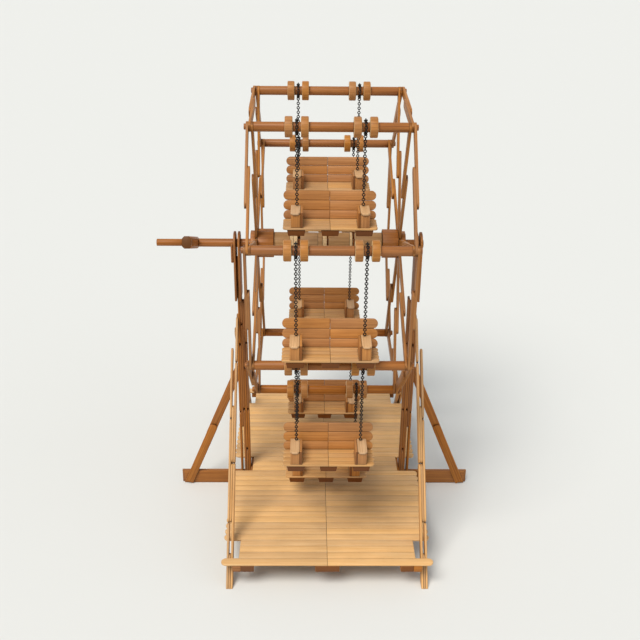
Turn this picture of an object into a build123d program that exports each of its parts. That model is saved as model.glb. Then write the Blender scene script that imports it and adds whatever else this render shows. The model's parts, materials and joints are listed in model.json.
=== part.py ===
from build123d import *
import math
import os

# Hand-cranked model ferris wheel, built from flat craft sticks, dowels and fine chain.
# Millimetres, +Z up. The origin is on the table, at the middle of the footprint.
# The wheel turns about X, the crank is on -X, and the bench seats face -Y.

# ---- driving sizes: stock material ----
stick_len = 114.0         # length of a craft stick
stick_w = 10.0            # width of a craft stick
stick_t = 2.4             # thickness of a craft stick
joint_gap = 0.1           # gap left between sticks laid edge to edge or end to end
glue_line = 0.02          # gap left between sticks laid face to face

# ---- driving sizes: wheel ----
bar_count = 8
wheel_r = 166.0           # hub centre to bar centre
wheel_phase = 18.3        # how far the front bar stands above level at rest
bar_d = 9.6
bar_span = 151.0          # length between the two side frames
peg_d = 6.0               # turned-down bar ends that go through the side frames
peg_proud = 2.2
rim_lap = 43.0            # how much the two rim sticks between neighbouring bars overlap
spoke_outer_len = 94.0    # bar centre to the inner end of the outer half of a spoke
spoke_lap = 30.0          # how much the halves of a spoke overlap
spoke_root = 12.8
fit = 0.02                # glued bore on its dowel
run_fit = 0.06            # radial play of the axle in the stand

# ---- driving sizes: hub, axle and crank ----
axle_d = 9.2
sleeve_d = 24.4
drum_d = 32.0
drum_in = 60.0
block_d = 28.0
block_w = 5.5
axle_right = 106.5
crank_x = 148.5           # axle centre line to the middle of the crank arm
crank_w = 9.6
crank_h = 13.0
crank_r = 60.0            # axle to handle
crank_angle = 20.8        # how far the arm stands above level at rest
crank_over = 7.0          # arm beyond each hole centre
handle_d = 7.4
handle_len = 26.8
tenon_d = 6.4             # handle end that is glued into the arm
shoulder_gap = 0.2        # handle shoulder to the arm
sleeves = ((-60.0, -42.3), (-42.2, -38.0), (-37.9, -34.0), (-30.7, -11.5), (-11.4, -6.0),
           (-5.9, -1.5), (0.7, 23.8), (23.9, 26.7), (30.0, 60.0))

# ---- driving sizes: spacer discs on each bar ----
disc_d = 20.4
disc_w = 7.6
disc_in = 25.6
disc_out = 41.4
disc_edge = 0.6

# ---- driving sizes: bench seats, measured from their own bar ----
seat_half = 47.4
seat_clear = 2.75         # runner to the discs of the next bar, when that bar is right below
arm_rise = 13.5           # floor top up to the arm underside
arm_x = 27.4              # inner face of an arm
arm_w = 12.2
arm_clip = 2.4            # clipped front corners of an arm rest
arm_front = 22.0          # reach in front of the bar
arm_back = 4.0
floor_rows = 4
floor_w = 7.2
floor_front = 21.0
back_rows = 3
back_sink = 1.5           # lowest back slat reaches this far below the floor top
back_gap = 0.6            # behind the floor, so that the leaning slat clears it
back_lean = 19.0
runner_x = 34.0
runner_w = 18.5
runner_foot = 16.0
runner_h = 6.5
runner_front = 20.0

# ---- driving sizes: chain ----
link_w = 3.2
strand_d = 3.0            # hanging strand, as thick as its links seen from all sides
shorter = (0, 9.0, 0, 0, 0, 0, 0, 0)   # how much higher each bench hangs than the lowest ones
loop_r = 6.9              # bar centre to the middle of the chain loop
loop_play = 0.4           # between the bar and the loop, so that the seat hangs level

# ---- driving sizes: deck and stand ----
deck_top = 33.0
deck_clear = 14.8991      # lowest bench over the deck, which puts the axle 328 mm above the table
deck_rows = 37
row_pitch = 10.15
notch_rows = 3
leg_notch_x = 95.5
post_notch_x = 90.0
joist_h = 8.0
joist_mid_w = 26.0
joist_in = 79.0
joist_end_w = 9.4
joist_end_l = 8.0
post_in = 92.8            # inner face of a post
post_plies = 5
post_low_top = 262.0      # where the two inner plies stop
post_low_joint = 204.0    # topmost joint of the inner ply
post_outer_joint = 110.0
ply_step = 3.0            # how much lower the second ply stops
post_core_drop = 16.0     # core of a post stops this far below the axle centre
post_core_foot = 88.0
cheek_foot = 262.0
cheek_r = 13.0
leg_foot_y = 183.0
leg_top_y = 5.3
leg_top_z = 233.0
leg_under = 8.8           # outer post ply stops this far below the leg tops
leg_slot_foot = 34.0      # open slot low in the leg, where the middle ply is left out
leg_slot_top = 67.0
leg_core_len = 64.5       # sticks of the middle ply above that slot
leg_stop = 262.0          # length of the outermost leg ply
foot_h = 18.0
foot_tip = 180.5
foot_in = 84.0
foot_lap = 120.0
foot_joint = 150.0
foot_step = 2.5           # front stick of the foot bar stops this far short of the tip
brace_foot_x = 172.0
brace_foot_z = 2.4
brace_top_x = 103.0
brace_top_z = 168.0
brace_lap_low = 92.0
brace_lap_high = 72.0
keeper_d = 3.0

# ---- derived sizes ----
frame_in = bar_span / 2
chair_ids = range(bar_count)
deck_len = deck_rows * row_pitch
chord = 2 * wheel_r * math.sin(math.pi / bar_count)      # from one bar to the next
chord_reach = (chord + rim_lap) / 2   # from its own bar to the far end of a rim stick
spoke_outer_from = wheel_r - spoke_outer_len
spoke_inner_to = spoke_outer_from + spoke_lap
chain_x = (disc_in + disc_out) / 2
arm_drop = chord - disc_d / 2 - seat_clear - runner_h - 2 * stick_t - arm_rise   # to the arm top
floor_z = -arm_drop - stick_t - arm_rise
seat_reach = chord - disc_d / 2 - seat_clear             # from a bar down to the runners
hub_z = deck_top + deck_clear + seat_reach + wheel_r
post_core_top = hub_z - post_core_drop
post_leg_ply = post_in + (post_plies - 1) * stick_t
joist_out = post_in - joint_gap       # the outer joists are glued to the posts
TILT = (Align.MIN, Align.CENTER)

os.makedirs("parts", exist_ok=True)


def bar_at(k):
    """Centre of bar k in Y and Z, counted upwards from the front."""
    angle = math.radians(wheel_phase + 360 / bar_count * k)
    return -wheel_r * math.cos(angle), hub_z + wheel_r * math.sin(angle)


def flat_stick(plane, length, width=stick_w, ends=(True, True), bore=None, thick=stick_t):
    """A stick from x=0 to length on the plane, rounded where ends says so."""
    start = width / 2 if ends[0] else 0
    stop = length - width / 2 if ends[1] else length
    with BuildPart() as piece:
        with BuildSketch(plane):
            with Locations((start, 0)):
                Rectangle(stop - start, width, align=TILT)
            if ends[0]:
                with Locations((start, 0)):
                    Circle(width / 2)
            if ends[1]:
                with Locations((stop, 0)):
                    Circle(width / 2)
            if bore:
                with Locations((bore[0], 0)):
                    Circle(bore[1], mode=Mode.SUBTRACT)
        extrude(amount=thick - glue_line)
    return piece.part


def side_plane(side, x, y, z, to_y, to_z):
    """Plane on a side frame: local x runs towards (to_y, to_z) and thickness goes outwards."""
    return Plane(origin=(side * x, y, z), x_dir=(0, to_y - y, to_z - z), z_dir=(side, 0, 0))


def disc_on_x(x0, x1, d, y, z, hole=0.0, sides=0):
    """A round or faceted piece along X, with an optional bore."""
    with BuildPart() as piece:
        with BuildSketch(Plane(origin=(x0, y, z), x_dir=(0, 1, 0), z_dir=(1, 0, 0))):
            if sides:
                RegularPolygon(d / 2, sides, rotation=180 / sides)
            else:
                Circle(d / 2)
            if hole:
                Circle(hole / 2, mode=Mode.SUBTRACT)
        extrude(amount=x1 - x0)
    return piece.part


def block(x0, x1, y0, y1, z0, z1):
    """A square-cut block between two corners."""
    with BuildPart() as piece:
        with BuildSketch(Plane.XY.offset(z0)):
            with Locations(((x0 + x1) / 2, (y0 + y1) / 2)):
                Rectangle(abs(x1 - x0), abs(y1 - y0))
        extrude(amount=z1 - z0)
    return piece.part


def save(name, pieces):
    """Write the separate solids of one sub-part under its own name."""
    group = pieces[0] if len(pieces) == 1 else Compound(children=list(pieces))
    group.label = name
    export_step(group, f"parts/{name}.step")


# ---- deck: rows of two sticks that butt on the centre line ----
def deck_board(side, row):
    mid = deck_rows // 2
    y = -deck_len / 2 + (row + 0.5) * row_pitch
    half = notch_rows // 2
    length, rounded = stick_len, True
    if abs(row - mid) <= half:
        length, rounded = post_notch_x, False
    elif 1 <= row <= notch_rows or 1 <= deck_rows - 1 - row <= notch_rows:
        length, rounded = leg_notch_x, False
    plane = Plane(origin=(side * joint_gap / 2, y, deck_top - stick_t),
                  x_dir=(side, 0, 0), z_dir=(0, 0, 1))
    return flat_stick(plane, length - joint_gap / 2, row_pitch - joint_gap, (False, rounded))


for side, name in ((-1, "deck_boards_left"), (1, "deck_boards_right")):
    save(name, [deck_board(side, row) for row in range(deck_rows)])

# ---- joists under the deck ----
joist_top = deck_top - stick_t
joist_low = joist_top - joist_h
deck_front = -deck_len / 2
joists = [block(-joist_mid_w / 2, joist_mid_w / 2, deck_front, -deck_front, joist_low, joist_top)]
for side in (-1, 1):
    joists.append(block(side * joist_in, side * joist_out, deck_front, -deck_front,
                        joist_low, joist_top))
    for end in (-1, 1):
        joists.append(block(side * (joist_out + joint_gap), side * (joist_out + joist_end_w),
                            end * deck_len / 2, end * (deck_len / 2 - joist_end_l),
                            joist_low, joist_top))
save("deck_joists", joists)


# ---- posts: five plies of upright sticks, staggered end to end ----
def upright(side, ply, z0, z1, ends=(True, True)):
    x = post_in + ply * stick_t
    return flat_stick(side_plane(side, x, 0, z0, 0, z1), z1 - z0 - joint_gap, ends=ends)


def cheek(side, ply):
    """Wide plate with a round top that carries the axle."""
    x = post_in + ply * stick_t
    with BuildPart() as plate:
        with BuildSketch(side_plane(side, x, 0, hub_z, 0, hub_z + 1)):
            Circle(cheek_r)
            Rectangle(hub_z - cheek_foot, 2 * cheek_r, align=(Align.MAX, Align.CENTER))
            Circle(axle_d / 2 + run_fit, mode=Mode.SUBTRACT)
        extrude(amount=stick_t - glue_line)
    return plate.part


post_joints = (           # heights at which the sticks of each ply meet, from the inner ply out
    (0, stick_len, post_low_joint, post_low_top),
    (0, stick_len / 2, 1.5 * stick_len, post_low_top - ply_step),
    (0, stick_len, 2 * stick_len, cheek_foot),
    (post_core_foot, post_core_foot + stick_len, post_core_top),
    (0, post_outer_joint, leg_top_z - leg_under),
)
for side, name in ((-1, "post_left"), (1, "post_right")):
    plies = []
    for ply, joints in enumerate(post_joints):
        for z0, z1 in zip(joints, joints[1:]):
            plies.append(upright(side, ply, z0, z1, (z0 > 0, z1 != cheek_foot)))
    save(name, plies)
for side, name in ((-1, "axle_cheeks_left"), (1, "axle_cheeks_right")):
    save(name, [cheek(side, 2), cheek(side, 4)])


# ---- sloping legs: three plies, the middle one in short pieces with open slots ----
leg_len = math.hypot(leg_foot_y - leg_top_y, leg_top_z) + stick_w / 2
leg_inner_joint = leg_slot_top + leg_core_len
leg_outer_joint = leg_slot_top + stick_len
leg_runs = (              # start and stop of each stick along the leg, from the inner ply out
    ((0, leg_inner_joint), (leg_inner_joint, leg_inner_joint + stick_len),
     (leg_inner_joint + stick_len, leg_len)),
    ((0, leg_slot_foot), (leg_slot_top, leg_inner_joint),
     (leg_inner_joint, leg_inner_joint + leg_core_len)),
    ((0, leg_slot_top), (leg_slot_top, leg_outer_joint), (leg_outer_joint, leg_stop)),
)


def leg_piece(side, end, ply, start, stop):
    dy = -end * (leg_foot_y - leg_top_y)
    run = math.hypot(dy, leg_top_z)
    uy, uz = dy / run, leg_top_z / run
    below = stick_w if start == 0 else -start
    x = post_leg_ply + ply * stick_t
    y0, z0 = end * leg_foot_y - uy * below, -uz * below
    plane = side_plane(side, x, y0, z0, end * leg_top_y, leg_top_z)
    with BuildPart() as piece:
        add(flat_stick(plane, stop + below - joint_gap, ends=(start > 0, True)))
        if start == 0:
            split(bisect_by=Plane.XY, keep=Keep.TOP)
    return piece.part


for side, s_name in ((-1, "left"), (1, "right")):
    for end, e_name in ((-1, "front"), (1, "rear")):
        save(f"leg_{e_name}_{s_name}",
             [leg_piece(side, end, ply, a, b)
              for ply, runs in enumerate(leg_runs) for a, b in runs])

# ---- outriggers: a foot bar on edge and a lapped brace on each side ----
post_back = stick_w / 2
brace_run = math.hypot(brace_foot_x - brace_top_x, brace_top_z - brace_foot_z)
brace_ux = (brace_top_x - brace_foot_x) / brace_run
brace_uz = (brace_top_z - brace_foot_z) / brace_run


def foot_ply(side, x0, x1, y0, ends):
    """One wide stick of a foot bar, standing on its edge."""
    plane = Plane(origin=(side * x0, y0, foot_h / 2), x_dir=(side, 0, 0), z_dir=(0, 1, 0))
    return flat_stick(plane, x1 - x0, foot_h, ends)


def brace_ply(side, start, stop, y0):
    """One stick of a brace, measured along it from its foot."""
    x = side * (brace_foot_x + brace_ux * start)
    z = brace_foot_z + brace_uz * start
    plane = Plane(origin=(x, y0, z), x_dir=(side * brace_ux, 0, brace_uz), z_dir=(0, 1, 0))
    return flat_stick(plane, stop - start, ends=(start > 0, True))


for side, name in ((-1, "left"), (1, "right")):
    spacer = block(side * post_in, side * post_leg_ply, post_back, post_back + stick_t, 0, foot_h)
    save(f"foot_bar_{name}", [
        foot_ply(side, foot_in, foot_joint, post_back + stick_t, (False, False)),
        foot_ply(side, foot_joint + joint_gap, foot_tip, post_back + stick_t, (False, False)),
        foot_ply(side, foot_lap, foot_tip - foot_step, post_back, (False, False)),
        spacer])
    save(f"brace_{name}", [
        brace_ply(side, 0, brace_lap_low, post_back - stick_t),
        brace_ply(side, brace_lap_high, brace_run, post_back)])

# ---- wheel: bars with pegged ends ----
for k in chair_ids:
    y, z = bar_at(k)
    peg_end = frame_in + 3 * stick_t + peg_proud
    with BuildPart() as crossbar:
        with BuildSketch(Plane(origin=(-frame_in, y, z), x_dir=(0, 1, 0), z_dir=(1, 0, 0))):
            Circle(bar_d / 2)
        extrude(amount=bar_span)
        with BuildSketch(Plane(origin=(-peg_end, y, z), x_dir=(0, 1, 0), z_dir=(1, 0, 0))):
            Circle(peg_d / 2)
        extrude(amount=2 * peg_end)
    crossbar.part.label = f"crossbar_{k + 1}"
    export_step(crossbar.part, f"parts/crossbar_{k + 1}.step")


# ---- wheel: spacer discs either side of each chain ----
def spacer_disc(k, centre):
    y, z = bar_at(k)
    with BuildPart() as disc:
        with BuildSketch(Plane(origin=(centre - disc_w / 2, y, z), x_dir=(0, 1, 0),
                               z_dir=(1, 0, 0))):
            Circle(disc_d / 2)
        extrude(amount=disc_w)
        chamfer(disc.edges(), disc_edge)
        with BuildSketch(Plane(origin=(centre - disc_w / 2, y, z), x_dir=(0, 1, 0),
                               z_dir=(1, 0, 0))):
            Circle(bar_d / 2 + fit)
        extrude(amount=disc_w, mode=Mode.SUBTRACT)
    return disc.part


save("bar_discs", [spacer_disc(k, x) for k in chair_ids
                   for x in (-disc_out, -disc_in, disc_in, disc_out)])


# ---- wheel: side frames, spokes inside and lapped rim sticks outside ----
def rim_stick(side, k, step, layer):
    y0, z0 = bar_at(k)
    y1, z1 = bar_at(k + step)
    run = math.hypot(y1 - y0, z1 - z0)
    back = stick_w / 2 / run
    x = frame_in + layer * stick_t
    plane = side_plane(side, x, y0 - (y1 - y0) * back, z0 - (z1 - z0) * back, y1, z1)
    return flat_stick(plane, chord_reach + stick_w / 2, bore=(stick_w / 2, peg_d / 2 + fit))


def spoke_stick(side, k, outer):
    y, z = bar_at(k)
    uy, uz = y / wheel_r, (z - hub_z) / wheel_r
    start = wheel_r + stick_w / 2 if outer else spoke_root
    plane = side_plane(side, frame_in + (0 if outer else stick_t), uy * start, hub_z + uz * start,
                       0 if outer else y, hub_z if outer else z)
    if outer:
        return flat_stick(plane, start - spoke_outer_from, bore=(stick_w / 2, peg_d / 2 + fit))
    return flat_stick(plane, spoke_inner_to - spoke_root, ends=(False, True))


for side, name in ((-1, "left"), (1, "right")):
    save(f"wheel_spokes_{name}", [spoke_stick(side, k, o) for k in chair_ids for o in (True, False)])
    save(f"wheel_rim_{name}", [rim_stick(side, k, step, layer) for k in chair_ids
                               for step, layer in ((1, 1), (-1, 2))])

# ---- hub: sleeves, faceted drums and outer blocks on the axle ----
hub_bore = axle_d + 2 * fit
save("hub_sleeves", [disc_on_x(a, b, sleeve_d, 0, hub_z, hub_bore) for a, b in sleeves])
drum_end = frame_in + stick_t
block_in = frame_in + 2 * stick_t
drums = []
for side in (-1, 1):
    a, b = sorted((side * (drum_in + joint_gap), side * drum_end))
    drums.append(disc_on_x(a, b, drum_d, 0, hub_z, hub_bore, sides=8))
    a, b = sorted((side * block_in, side * (block_in + block_w)))
    drums.append(disc_on_x(a, b, block_d, 0, hub_z, hub_bore, sides=8))
save("hub_drums", drums)

# ---- axle, crank arm and handle ----
arm_in = crank_x - crank_w / 2
crank_uy = -math.cos(math.radians(crank_angle))
crank_uz = math.sin(math.radians(crank_angle))
handle_y = crank_r * crank_uy
handle_z = hub_z + crank_r * crank_uz
save("axle", [disc_on_x(-arm_in - crank_w, axle_right, axle_d, 0, hub_z)])
with BuildPart() as crank_arm:
    with BuildSketch(Plane(origin=(-arm_in, 0, hub_z), x_dir=(0, crank_uy, crank_uz),
                           z_dir=(-1, 0, 0))):
        with Locations((crank_r / 2, 0)):
            Rectangle(crank_r + 2 * crank_over, crank_h)
    extrude(amount=crank_w)
    chamfer(crank_arm.edges().filter_by(Axis((0, 0, 0), (0, crank_uy, crank_uz))), crank_w / 4)
    with BuildSketch(Plane(origin=(-arm_in, 0, hub_z), x_dir=(0, crank_uy, crank_uz),
                           z_dir=(-1, 0, 0))):
        Circle(axle_d / 2 + fit)
        with Locations((crank_r, 0)):
            Circle(tenon_d / 2 + fit)
    extrude(amount=crank_w, mode=Mode.SUBTRACT)
crank_arm.part.label = "crank_arm"
export_step(crank_arm.part, "parts/crank_arm.step")
handle_from = arm_in + crank_w + shoulder_gap
with BuildPart() as crank_handle:
    with BuildSketch(Plane(origin=(-handle_from, handle_y, handle_z), x_dir=(0, -1, 0),
                           z_dir=(-1, 0, 0))):
        Circle(handle_d / 2)
    extrude(amount=handle_len)
    with BuildSketch(Plane(origin=(-handle_from, handle_y, handle_z), x_dir=(0, 1, 0),
                           z_dir=(1, 0, 0))):
        Circle(tenon_d / 2)
    extrude(amount=crank_w + shoulder_gap)
crank_handle.part.label = "crank_handle"
export_step(crank_handle.part, "parts/crank_handle.step")

# ---- small peg that leans against the left outer cheek, below the axle end ----
keeper_x = post_leg_ply + stick_t + keeper_d / 2
with BuildPart() as axle_keeper:
    with BuildSketch(Plane(origin=(-keeper_x, -axle_d, hub_z - 20), z_dir=(0, 0, 1))):
        Circle(keeper_d / 2)
    extrude(amount=22)
axle_keeper.part.label = "axle_keeper"
export_step(axle_keeper.part, "parts/axle_keeper.step")


# ---- bench seats ----
def bench_slats(y, z):
    rows = []
    for side in (-1, 1):
        for row in range(floor_rows):
            yc = y - floor_front + (row + 0.5) * floor_w
            plane = Plane(origin=(side * joint_gap / 2, yc, z + floor_z - stick_t),
                          x_dir=(side, 0, 0), z_dir=(0, 0, 1))
            rows.append(flat_stick(plane, seat_half, floor_w - joint_gap, (False, True)))
        lean = math.radians(back_lean)
        foot = y - floor_front + floor_rows * floor_w + back_gap
        for row in range(back_rows):
            up = (row + 0.5) * stick_w - back_sink
            plane = Plane(origin=(side * joint_gap / 2, foot + up * math.sin(lean),
                                  z + floor_z + up * math.cos(lean)),
                          x_dir=(side, 0, 0), z_dir=(0, math.cos(lean), -math.sin(lean)))
            rows.append(flat_stick(plane, seat_half, stick_w - joint_gap, (False, True)))
    return rows


def bench_runner(x, y, z):
    """Dark tapered block under the floor."""
    top = z + floor_z - stick_t
    length = floor_front + floor_rows * floor_w - runner_front
    with BuildPart() as runner:
        with BuildSketch(Plane(origin=(x, y - runner_front, top), x_dir=(1, 0, 0),
                               z_dir=(0, 1, 0))):
            with BuildLine():
                Polyline((-runner_w / 2, 0), (runner_w / 2, 0), (runner_foot / 2, runner_h),
                         (-runner_foot / 2, runner_h), close=True)
            make_face()
        extrude(amount=floor_rows * floor_w - 1)
    return runner.part


def arm_rest(side, y, under):
    """Flat arm rest with clipped front corners, outside the side panel."""
    x0, x1 = sorted((side * (arm_x + stick_t + joint_gap), side * (arm_x + arm_w)))
    with BuildPart() as rest:
        with BuildSketch(Plane.XY.offset(under + glue_line)):
            with BuildLine():
                Polyline((x0, y + arm_back), (x0, y - arm_front + arm_clip),
                         (x0 + arm_clip, y - arm_front), (x1 - arm_clip, y - arm_front),
                         (x1, y - arm_front + arm_clip), (x1, y + arm_back), close=True)
            make_face()
        extrude(amount=stick_t - glue_line)
    return rest.part


def bench_arms(y, z):
    """Arm rest, side panel and two posts on each side, and the three runners."""
    pieces = []
    foot = z + floor_z + glue_line
    under = z + floor_z + arm_rise
    for side in (-1, 1):
        inner = side * arm_x
        panel = side * (arm_x + stick_t)
        post_from = side * (arm_x + stick_t + joint_gap)
        post_to = side * (arm_x + arm_w - 0.4)
        pieces.append(arm_rest(side, y, under))
        pieces.append(block(inner, panel, y - floor_front, y + arm_back, foot, under + stick_t))
        for y0 in (y - floor_front + 0.4, y + arm_back - stick_t - 0.4):
            pieces.append(block(post_from, post_to, y0, y0 + stick_t, foot, under))
    pieces += [bench_runner(x, y, z) for x in (-runner_x, 0, runner_x)]
    return pieces


# ---- chain: a loop of links round the bar and a strand down to the arm ----
def chain(x, y, z, drop):
    """Outer shape of one chain: a ring round the bar and a straight strand."""
    with BuildPart() as strand:
        with BuildSketch(Plane(origin=(x - link_w / 2, y, z), x_dir=(0, 1, 0), z_dir=(1, 0, 0))):
            Circle(loop_r + link_w / 2)
        extrude(amount=link_w)
        with BuildSketch(Plane.XY.offset(z - drop)):
            with Locations((x, y)):
                Circle(strand_d / 2)
        extrude(amount=drop - loop_r)
        with BuildSketch(Plane(origin=(x - link_w / 2, y, z), x_dir=(0, 1, 0), z_dir=(1, 0, 0))):
            Circle(bar_d / 2 + loop_play)
        extrude(amount=link_w, mode=Mode.SUBTRACT)
    return strand.part


for k in chair_ids:
    bar_y, bar_z = bar_at(k)
    save(f"chair_{k + 1}_bench", bench_slats(bar_y, bar_z + shorter[k]))
    save(f"chair_{k + 1}_arms", bench_arms(bar_y, bar_z + shorter[k]))
    save(f"chair_{k + 1}_chains",
         [chain(x, bar_y, bar_z, arm_drop - shorter[k]) for x in (-chain_x, chain_x)])
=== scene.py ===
import json
import math
import random

import bpy
import numpy as np
from mathutils import Euler, Matrix, Vector


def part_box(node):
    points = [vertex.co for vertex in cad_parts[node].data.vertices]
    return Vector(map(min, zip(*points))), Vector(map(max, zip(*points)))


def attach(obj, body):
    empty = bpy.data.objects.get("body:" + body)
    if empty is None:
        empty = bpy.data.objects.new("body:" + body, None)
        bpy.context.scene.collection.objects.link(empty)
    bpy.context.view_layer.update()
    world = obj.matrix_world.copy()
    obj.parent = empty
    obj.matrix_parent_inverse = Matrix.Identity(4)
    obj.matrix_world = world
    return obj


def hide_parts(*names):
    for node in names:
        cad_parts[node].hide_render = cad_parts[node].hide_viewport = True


# Hand-cranked model ferris wheel of craft sticks, dowels and fine chain.
# Metres, +Z up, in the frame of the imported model: the wheel turns about X, the benches face -Y.

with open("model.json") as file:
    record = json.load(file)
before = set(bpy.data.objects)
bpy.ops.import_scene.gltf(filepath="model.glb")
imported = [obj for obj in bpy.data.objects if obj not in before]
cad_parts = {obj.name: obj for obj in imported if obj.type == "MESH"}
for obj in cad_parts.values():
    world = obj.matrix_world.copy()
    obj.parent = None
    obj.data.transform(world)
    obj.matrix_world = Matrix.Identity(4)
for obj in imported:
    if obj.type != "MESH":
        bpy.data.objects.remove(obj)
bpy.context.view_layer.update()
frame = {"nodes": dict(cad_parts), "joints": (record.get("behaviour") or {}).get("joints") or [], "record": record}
record = frame["record"]
nodes = frame["nodes"]
body_of_node = {node: body for body, members in record["behaviour"]["bodies"].items() for node in members}
slot_of_node = {part["node"]: part["material_slot"] for part in record["subparts"]}
bar_centres = {j["child"]: Vector(j["pos_m"]) for j in frame["joints"] if j["child"].startswith("chair")}

MM = 0.001
draw = random.Random(11)

# ---- sizes of the wooden pieces ----
EDGE_ROUND = 0.5 * MM                # sanded edge of a stick
EDGE_STEPS = 2
EDGE_SHARP = math.radians(42)        # edges that turn more than this are sanded
SMOOTH_BELOW = math.radians(35)
SAME_POINT = 0.002 * MM
SAME_PLANE = math.radians(1)

# how the sticks of one node are told apart by their size, in mm
STICK_FLAT = 3                       # lower than this, a stick lies flat
RUNNER_HEIGHTS = (5, 8)
RING_WIDE = 5                        # narrower than this along the axle, a sleeve is a ring

# ---- sizes of the chains ----
WIRE = 1.1 * MM
LINK_LONG = 4.7 * MM                 # outside length of a link
LINK_WIDE = 3.8 * MM
LINK_PITCH = 2.45 * MM
LINK_SIDES = 12                      # steps round a link
WIRE_SIDES = 5
LINK_SWAY = 0.12                     # radians that a hanging link may turn out of line
PLAIN_WIDE = 3.2 * MM                # width of the plain chain that the links stand for
LOOP_R = 6.9 * MM                    # bar centre to the middle of the loop
LOOP_LINKS = 18

# ---- wood figure, in mm ----
LAYER_LONG, LAYER_WIDE = 70, 1.2     # growth layers
PORE_LONG, PORE_WIDE = 9, 0.5
GRAIN_SPREAD = 900                   # how far apart the sticks lie in the pattern
PORE_DEPTH = 0.08 * MM
STAIN_WIDE = 30 * MM
# reach and colour of the painted shade that ambient occlusion lays in seams and under overhangs
SEAM_REACH = 1.6 * MM
SEAM_SHADE_COLOUR = "#34200F"
END_FROM, END_SPAN = 0.75, 0.2       # how square to the grain a face is, where its end colour fades in
WOOD_IOR = 1.5
WOOD_GLOSS = 0.3                     # bare and oiled wood mirrors less than a polished surface

RUST_WIDE = 1.5 * MM                 # freckles of rust on the chain

# ---- light and camera ----
FLOOR_SIZE = 60
ROOM_LIGHT = 0.5                     # what the room gives the model
ROOM_SEEN = 0.95                     # what the camera and reflections see of the room
FOCAL_PX = 899.6
FRAME_PX = 640
SENSOR = 36.0
CAMERA_PLACE = (-0.0219, -0.9422, 0.6848)
CAMERA_TILT = math.radians(64.38)
CAMERA_TURN = math.radians(-0.85)
CAMERA_ROLL = math.radians(0.6)      # halfway between the lean of the wheel and of the deck
CLIP_START = 0.01

# sockets of a colour Mix node
MIX_A, MIX_B, MIX_OUT = 6, 7, 2


# ---- small helpers ----
def deselect():
    bpy.ops.object.select_all(action="DESELECT")


def activate(obj):
    deselect()
    obj.select_set(True)
    bpy.context.view_layer.objects.active = obj


def linear(code):
    """An sRGB hex colour as linear RGBA."""
    parts = [int(code[i:i + 2], 16) / 255 for i in (1, 3, 5)]
    return tuple(c / 12.92 if c <= 0.04045 else ((c + 0.055) / 1.055) ** 2.4 for c in parts) + (1.0,)


def add_node(tree, kind, links=None, **settings):
    """A new node with its settings, and its inputs filled with values or with other outputs."""
    new = tree.nodes.new(kind)
    for key, value in settings.items():
        setattr(new, key, value)
    for key, value in (links or {}).items():
        if isinstance(value, bpy.types.NodeSocket):
            tree.links.new(value, new.inputs[key])
        else:
            new.inputs[key].default_value = value
    return new


def blank_material(name):
    material = bpy.data.materials.new(name)
    material.use_nodes = True
    return material, material.node_tree, material.node_tree.nodes["Principled BSDF"]


def set_ramp(ramp, stops):
    """Give the two ends of a new colour ramp their places and colours."""
    for element, (position, colour) in zip(ramp.color_ramp.elements, stops):
        element.position = position
        element.color = linear(colour)


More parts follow.
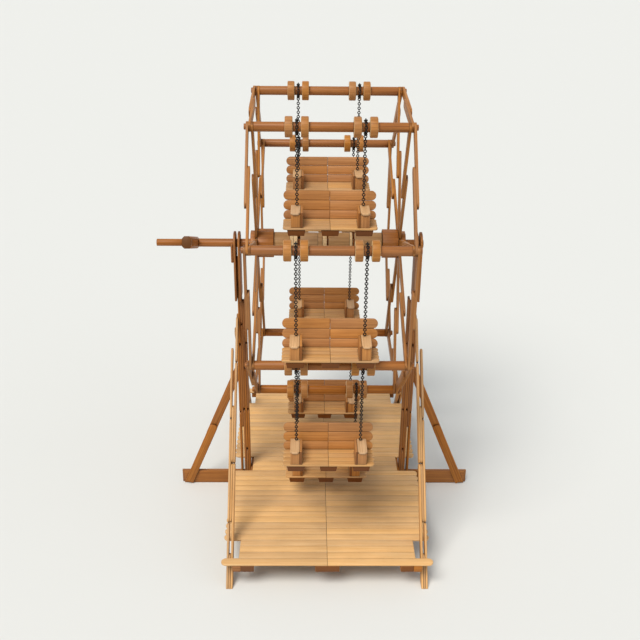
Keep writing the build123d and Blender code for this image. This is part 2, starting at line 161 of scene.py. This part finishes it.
# ---- materials ----
def stick_wood(name, light, dark, end, saturation, spread, rough):
    """Birch or beech, cut, sanded and wiped with a thin finish that has gone amber with age.

    The grain runs along each stick, tone and saturation change from stick to stick, and the cut
    ends have their own colour because they drink more of the finish.
    """
    material, tree, shader = blank_material(name)
    grain = add_node(tree, "ShaderNodeAttribute", attribute_name="grain").outputs["Vector"]
    tone = add_node(tree, "ShaderNodeAttribute", attribute_name="tone").outputs["Fac"]
    cut = add_node(tree, "ShaderNodeAttribute", attribute_name="end").outputs["Fac"]

    # growth layers: long soft stripes along the stick
    layer_map = add_node(tree, "ShaderNodeMapping",
                         {"Vector": grain, "Scale": (1 / LAYER_LONG, 1 / LAYER_WIDE, 1 / LAYER_WIDE)})
    layers = add_node(tree, "ShaderNodeTexNoise",
                      {"Vector": layer_map.outputs["Vector"], "Scale": 1.0, "Detail": 4.0,
                       "Roughness": 0.6, "Distortion": 0.35}).outputs["Fac"]
    body = add_node(tree, "ShaderNodeValToRGB", {"Fac": layers})
    set_ramp(body, ((0.3, dark), (0.68, light)))

    # pores: short dark ticks, drawn coarser than the real ones so that they show
    pore_map = add_node(tree, "ShaderNodeMapping",
                        {"Vector": grain, "Scale": (1 / PORE_LONG, 1 / PORE_WIDE, 1 / PORE_WIDE)})
    pores = add_node(tree, "ShaderNodeTexNoise",
                     {"Vector": pore_map.outputs["Vector"], "Scale": 1.0, "Detail": 2.0}).outputs["Fac"]
    pore_mask = add_node(tree, "ShaderNodeMapRange",
                         {"Value": pores, "From Min": 0.6, "From Max": 0.72, "To Max": 0.55})
    pored = add_node(tree, "ShaderNodeMix",
                     {0: pore_mask.outputs["Result"], MIX_A: body.outputs["Color"],
                      MIX_B: linear(dark)}, data_type="RGBA")
    ends = add_node(tree, "ShaderNodeMix",
                    {0: cut, MIX_A: pored.outputs[MIX_OUT], MIX_B: linear(end)}, data_type="RGBA")

    # tone of the stick, and stains from handling
    place = add_node(tree, "ShaderNodeTexCoord").outputs["Object"]
    stains = add_node(tree, "ShaderNodeTexNoise",
                      {"Vector": place, "Scale": 1 / STAIN_WIDE, "Detail": 3.0}).outputs["Fac"]
    stain_level = add_node(tree, "ShaderNodeMapRange",
                           {"Value": stains, "From Min": 0.3, "From Max": 0.7,
                            "To Min": 0.92, "To Max": 1.05})
    tone_level = add_node(tree, "ShaderNodeMapRange",
                          {"Value": tone, "To Min": 1.0 - spread, "To Max": 1.0 + spread})
    level = add_node(tree, "ShaderNodeMath",
                     {0: tone_level.outputs["Result"], 1: stain_level.outputs["Result"]},
                     operation="MULTIPLY")
    richness = add_node(tree, "ShaderNodeMapRange",
                        {"Value": tone, "To Min": saturation[0], "To Max": saturation[1]})
    shifted = add_node(tree, "ShaderNodeHueSaturation",
                       {"Saturation": richness.outputs["Result"], "Value": level.outputs["Value"],
                        "Color": ends.outputs[MIX_OUT]})

    # painted shade: ambient occlusion darkens the seams between sticks, the corners and the undersides of
    # overhangs towards a dark brown
    seam_occlusion = add_node(tree, "ShaderNodeAmbientOcclusion", {"Distance": SEAM_REACH}, samples=8)
    painted_shade_mask = add_node(tree, "ShaderNodeMapRange",
                         {"Value": seam_occlusion.outputs["AO"], "From Min": 0.25, "From Max": 0.9,
                          "To Min": 0.92, "To Max": 0.0})
    seam_shaded = add_node(tree, "ShaderNodeMix",
                     {0: painted_shade_mask.outputs["Result"], MIX_A: shifted.outputs["Color"],
                      MIX_B: linear(SEAM_SHADE_COLOUR)}, data_type="RGBA")
    tree.links.new(seam_shaded.outputs[MIX_OUT], shader.inputs["Base Color"])

    # the dense pale layers polish up, and the pores are dents
    polish = add_node(tree, "ShaderNodeMapRange",
                      {"Value": layers, "To Min": rough + 0.1, "To Max": rough - 0.08})
    tree.links.new(polish.outputs["Result"], shader.inputs["Roughness"])
    dents = add_node(tree, "ShaderNodeBump",
                     {"Height": pores, "Strength": 0.35, "Distance": PORE_DEPTH})
    tree.links.new(dents.outputs["Normal"], shader.inputs["Normal"])
    shader.inputs["IOR"].default_value = WOOD_IOR
    shader.inputs["Specular IOR Level"].default_value = WOOD_GLOSS
    return material


def blackened_chain():
    """Fine steel chain, blackened and dull, with brown rust freckles."""
    material, tree, shader = blank_material("blackened_steel_chain")
    place = add_node(tree, "ShaderNodeTexCoord").outputs["Object"]
    rust = add_node(tree, "ShaderNodeTexNoise",
                    {"Vector": place, "Scale": 1 / RUST_WIDE, "Detail": 3.0}).outputs["Fac"]
    colour = add_node(tree, "ShaderNodeValToRGB", {"Fac": rust})
    set_ramp(colour, ((0.45, "#0D0C0B"), (0.72, "#2A1F17")))
    tree.links.new(colour.outputs["Color"], shader.inputs["Base Color"])
    dull = add_node(tree, "ShaderNodeMapRange", {"Value": rust, "To Min": 0.42, "To Max": 0.7})
    tree.links.new(dull.outputs["Result"], shader.inputs["Roughness"])
    shader.inputs["Metallic"].default_value = 0.4
    return material


looks = {
    # pale golden craft sticks, hardly finished
    "deck_stick": stick_wood("bare_birch_deck", light="#E1BB8A", dark="#CFA26D", end="#B98F5C",
                             saturation=(1.0, 1.08), spread=0.1, rough=0.5),
    # the darkest sticks, brown with age and glue
    "stand_stick": stick_wood("aged_birch_stand", light="#AC733E", dark="#7F4D26", end="#6E4424",
                              saturation=(0.97, 1.08), spread=0.13, rough=0.5),
    # cream and tan plies that change from stick to stick
    "leg_stick": stick_wood("aged_birch_leg", light="#D6AB78", dark="#AE7F4E", end="#94693F",
                            saturation=(0.97, 1.08), spread=0.15, rough=0.5),
    # mid brown rims and spokes
    "wheel_stick": stick_wood("aged_birch_wheel", light="#B07A45", dark="#825228", end="#74481F",
                              saturation=(0.97, 1.08), spread=0.12, rough=0.5),
    # close-grained dowel with a little shine
    "dowel": stick_wood("oiled_beech_dowel", light="#A86C34", dark="#824C1F", end="#5C3819",
                        saturation=(0.97, 1.06), spread=0.07, rough=0.45),
    # orange-brown rim, with pale cut faces
    "disc": stick_wood("turned_beech_disc", light="#B98047", dark="#905D2C", end="#E3BF8C",
                       saturation=(0.97, 1.08), spread=0.08, rough=0.45),
    # warm even brown of the bench backs and arm posts
    "seat_stick": stick_wood("oiled_birch_seat", light="#BC844E", dark="#996537", end="#7A4B25",
                             saturation=(0.98, 1.06), spread=0.07, rough=0.45),
    "chain": blackened_chain(),
}
# rubbed bare where hands rest
arm_rest_look = stick_wood("bare_birch_arm_rest", light="#D2A97B", dark="#B58B5E", end="#C9A277",
                           saturation=(0.9, 1.0), spread=0.05, rough=0.55)
# paler than the backs, with the finish worn off
seat_floor_look = stick_wood("worn_birch_seat_floor", light="#D1A570", dark="#AF8252", end="#C9A070",
                             saturation=(0.95, 1.05), spread=0.06, rough=0.5)
# runners under the seat floor, a much darker brown than the seat sticks
runner_look = stick_wood("dark_brown_runner", light="#70421F", dark="#502C14", end="#643A1B",
                         saturation=(1.0, 1.1), spread=0.08, rough=0.55)
# greyer tan of the hub
sleeve_look = stick_wood("worn_beech_sleeve", light="#B58A58", dark="#91683C", end="#D9B98A",
                         saturation=(0.9, 1.0), spread=0.06, rough=0.5)
# cream rings between the sleeves
ring_look = stick_wood("bare_beech_ring", light="#DDBE90", dark="#C6A06E", end="#E0C398",
                       saturation=(0.95, 1.0), spread=0.05, rough=0.5)


# ---- wooden pieces: a copy of each CAD node with sanded edges and grain along each stick ----
def islands(mesh):
    """Lists of vertex indices, one for each separate stick of a mesh."""
    root = list(range(len(mesh.vertices)))

    def find(i):
        while root[i] != i:
            root[i] = root[root[i]]
            i = root[i]
        return i

    for edge in mesh.edges:
        a, b = (find(i) for i in edge.vertices)
        root[max(a, b)] = min(a, b)
    groups = {}
    for i in range(len(root)):
        groups.setdefault(find(i), []).append(i)
    return list(groups.values())


def mark_grain(mesh, turned):
    """Give each stick its grain coordinates in mm, its tone and its cut ends.

    Turned pieces have the grain along the axle. The others have it along their own length.
    """
    points = np.array([v.co for v in mesh.vertices]) / MM
    grain = np.zeros_like(points)
    tone = np.zeros(len(points))
    grain_way = np.zeros_like(points)
    for group in islands(mesh):
        own = points[group]
        middle = own.mean(axis=0)
        if turned:
            axes = np.eye(3)
        else:
            axes = np.linalg.eigh(np.cov((own - middle).T))[1].T[::-1]
        shift = np.array([draw.uniform(0, GRAIN_SPREAD) for _ in range(3)])
        grain[group] = (own - middle) @ axes.T + shift
        tone[group] = draw.random()
        grain_way[group] = axes[0]
    mesh.attributes.new("grain", "FLOAT_VECTOR", "POINT").data.foreach_set("vector", grain.ravel())
    mesh.attributes.new("tone", "FLOAT", "POINT").data.foreach_set("value", tone)
    ends = []
    for face in mesh.polygons:
        squareness = abs(float(np.dot(face.normal, grain_way[face.vertices[0]])))
        ends.append(min(1.0, max(0.0, (squareness - END_FROM) / END_SPAN)))
    mesh.attributes.new("end", "FLOAT", "FACE").data.foreach_set("value", ends)


def repaint(mesh, chosen, look):
    """Give another look to each stick of a mesh that chosen() accepts by its size in mm."""
    mesh.materials.append(look)
    index = len(mesh.materials) - 1
    taken = set()
    for group in islands(mesh):
        own = np.array([mesh.vertices[i].co for i in group]) / MM
        if chosen(own.max(axis=0) - own.min(axis=0)):
            taken.update(group)
    for face in mesh.polygons:
        if face.vertices[0] in taken:
            face.material_index = index


def lies_flat(size):
    return size[2] < STICK_FLAT


def is_runner(size):
    return RUNNER_HEIGHTS[0] < size[2] < RUNNER_HEIGHTS[1]


def is_ring(size):
    return size[0] < RING_WIDE


def sand(piece):
    """Merge a copied mesh and round its sharp edges."""
    activate(piece)
    bpy.ops.object.mode_set(mode="EDIT")
    bpy.ops.mesh.select_all(action="SELECT")
    bpy.ops.mesh.remove_doubles(threshold=SAME_POINT)
    bpy.ops.mesh.dissolve_limited(angle_limit=SAME_PLANE)
    bpy.ops.object.mode_set(mode="OBJECT")
    sanded = piece.modifiers.new("sanded", "BEVEL")
    sanded.width = EDGE_ROUND
    sanded.segments = EDGE_STEPS
    sanded.limit_method = "ANGLE"
    sanded.angle_limit = EDGE_SHARP
    bpy.ops.object.modifier_apply(modifier="sanded")
    bpy.ops.object.shade_smooth_by_angle(angle=SMOOTH_BELOW)


def dress(name):
    """A sanded wooden copy of one CAD node, which stands for it."""
    slot = slot_of_node[name]
    mesh = nodes[name].data.copy()
    piece = bpy.data.objects.new(name + "_wood", mesh)
    bpy.context.scene.collection.objects.link(piece)
    sand(piece)
    mesh.materials.clear()
    mesh.materials.append(looks[slot])
    mark_grain(mesh, turned=slot in ("dowel", "disc") and name != "crank_arm")
    if name.endswith("_bench"):
        repaint(mesh, lies_flat, seat_floor_look)
    if name.endswith("_arms"):
        repaint(mesh, lies_flat, arm_rest_look)
        repaint(mesh, is_runner, runner_look)
    if name == "hub_sleeves":
        mesh.materials[0] = sleeve_look
        repaint(mesh, is_ring, ring_look)
    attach(piece, body_of_node[name])
    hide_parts(name)


for name in sorted(nodes):
    if slot_of_node[name] != "chain":
        dress(name)


# ---- chains: oval wire links, a loop round the bar and a strand down to the arm ----
def wire_link():
    """One oval link at the origin, long in Z and flat in XZ: a ring whose halves are drawn apart."""
    deselect()
    bpy.ops.mesh.primitive_torus_add(major_radius=LINK_WIDE / 2 - WIRE / 2, minor_radius=WIRE / 2,
                                     major_segments=LINK_SIDES, minor_segments=WIRE_SIDES,
                                     rotation=(math.pi / 2, 0, 0))
    link = bpy.context.object
    bpy.ops.object.transform_apply(location=False, rotation=True, scale=False)
    stretch = (LINK_LONG - LINK_WIDE) / 2
    for way in (-1, 1):
        for vertex in link.data.vertices:
            vertex.select = vertex.co.z * way > 0.1 * MM
        bpy.ops.object.mode_set(mode="EDIT")
        bpy.ops.transform.translate(value=(0, 0, way * stretch))
        bpy.ops.object.mode_set(mode="OBJECT")
    return link


def link_places(x, drop):
    """Place of each link of one chain, measured from the bar centre."""
    places = []
    for i in range(LOOP_LINKS):
        turn = -math.pi / 2 + 2 * math.pi * i / LOOP_LINKS
        twist = math.pi / 2 if i % 2 == 0 else 0
        places.append(Matrix.Translation((x, LOOP_R * math.cos(turn), LOOP_R * math.sin(turn)))
                      @ Matrix.Rotation(turn, 4, "X") @ Matrix.Rotation(twist, 4, "Z"))
    # the strand hangs from the lowest link of the loop and ends on the arm rest
    first = -LOOP_R - LINK_WIDE / 2 + 1.5 * WIRE - LINK_LONG / 2 + WIRE / 2
    last = -drop + LINK_LONG / 2
    count = round((first - last) / LINK_PITCH) + 1
    for i in range(count):
        z = first + (last - first) * i / (count - 1)
        sway = draw.uniform(-LINK_SWAY, LINK_SWAY)
        places.append(Matrix.Translation((x, 0, z))
                      @ Matrix.Rotation(math.pi / 2 * (i % 2) + sway, 4, "Z"))
    return places


def hang_chains(name, link):
    """Both chains of one bench as one piece, which stands for their CAD node."""
    low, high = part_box(name)
    centre = bar_centres[body_of_node[name]]
    chain_x = high.x - PLAIN_WIDE / 2
    drop = centre.z - low.z
    copies = []
    for place in link_places(-chain_x, drop) + link_places(chain_x, drop):
        copy = bpy.data.objects.new("link", link.data.copy())
        copy.data.transform(Matrix.Translation(centre) @ place)
        bpy.context.scene.collection.objects.link(copy)
        copies.append(copy)
    deselect()
    for copy in copies:
        copy.select_set(True)
    bpy.context.view_layer.objects.active = copies[0]
    bpy.ops.object.join()
    chain = bpy.context.object
    chain.name = name + "_links"
    bpy.ops.object.shade_smooth()
    chain.data.materials.append(looks["chain"])
    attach(chain, body_of_node[name])
    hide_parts(name)


first_link = wire_link()
for name in sorted(nodes):
    if slot_of_node[name] == "chain":
        hang_chains(name, first_link)
bpy.data.objects.remove(first_link)

# ---- floor ----
deselect()
bpy.ops.mesh.primitive_plane_add(size=FLOOR_SIZE, location=(0, 0, 0))
floor = bpy.context.object
floor.name = "floor"
floor_look, _, floor_shader = blank_material("pale_studio_floor")
floor_shader.inputs["Base Color"].default_value = linear("#DADDDD")
floor_shader.inputs["Roughness"].default_value = 0.9
floor.data.materials.append(floor_look)

# ---- room: it lights the model softly, and looks pale to the camera and in reflections ----
world = bpy.data.worlds.new("soft_room")
bpy.context.scene.world = world
world.use_nodes = True
room = world.node_tree
sky = room.nodes["Background"]
sky.inputs["Color"].default_value = linear("#E4E8EA")
ray = add_node(room, "ShaderNodeLightPath")
seen = add_node(room, "ShaderNodeMath",
                {0: ray.outputs["Is Camera Ray"], 1: ray.outputs["Is Glossy Ray"]},
                operation="MAXIMUM")
seen_at_all = add_node(room, "ShaderNodeMath",
                       {0: seen.outputs["Value"], 1: ray.outputs["Is Transmission Ray"]},
                       operation="MAXIMUM")
glow = add_node(room, "ShaderNodeMapRange",
                {"Value": seen_at_all.outputs["Value"], "To Min": ROOM_LIGHT, "To Max": ROOM_SEEN})
room.links.new(glow.outputs["Result"], sky.inputs["Strength"])


# ---- lamps ----
def soft_sun(name, towards, strength, spread, tint):
    """A wide soft light that stands in one direction, even over the whole floor."""
    lamp = bpy.data.lights.new(name, "SUN")
    lamp.energy = strength
    lamp.angle = math.radians(spread)
    lamp.color = linear(tint)[:3]
    holder = bpy.data.objects.new(name, lamp)
    bpy.context.scene.collection.objects.link(holder)
    holder.rotation_euler = (-Vector(towards)).to_track_quat("-Z", "Y").to_euler()


soft_sun("window_front_left", towards=(-0.6, -0.85, 1.5), strength=3.0, spread=30, tint="#FFF8EE")
soft_sun("fill_right", towards=(1.5, -0.6, 0.7), strength=0.45, spread=60, tint="#F1F6FF")

# ---- camera ----
camera = bpy.data.cameras.new("camera")
camera.sensor_width = SENSOR
camera.lens = FOCAL_PX / FRAME_PX * SENSOR
camera.clip_start = CLIP_START
eye = bpy.data.objects.new("camera", camera)
bpy.context.scene.collection.objects.link(eye)
eye.location = CAMERA_PLACE
aim = Euler((CAMERA_TILT, 0, CAMERA_TURN)).to_matrix()
eye.rotation_euler = (aim @ Matrix.Rotation(CAMERA_ROLL, 3, "Z")).to_euler()
bpy.context.scene.camera = eye
bpy.context.scene.view_settings.view_transform = "Standard"
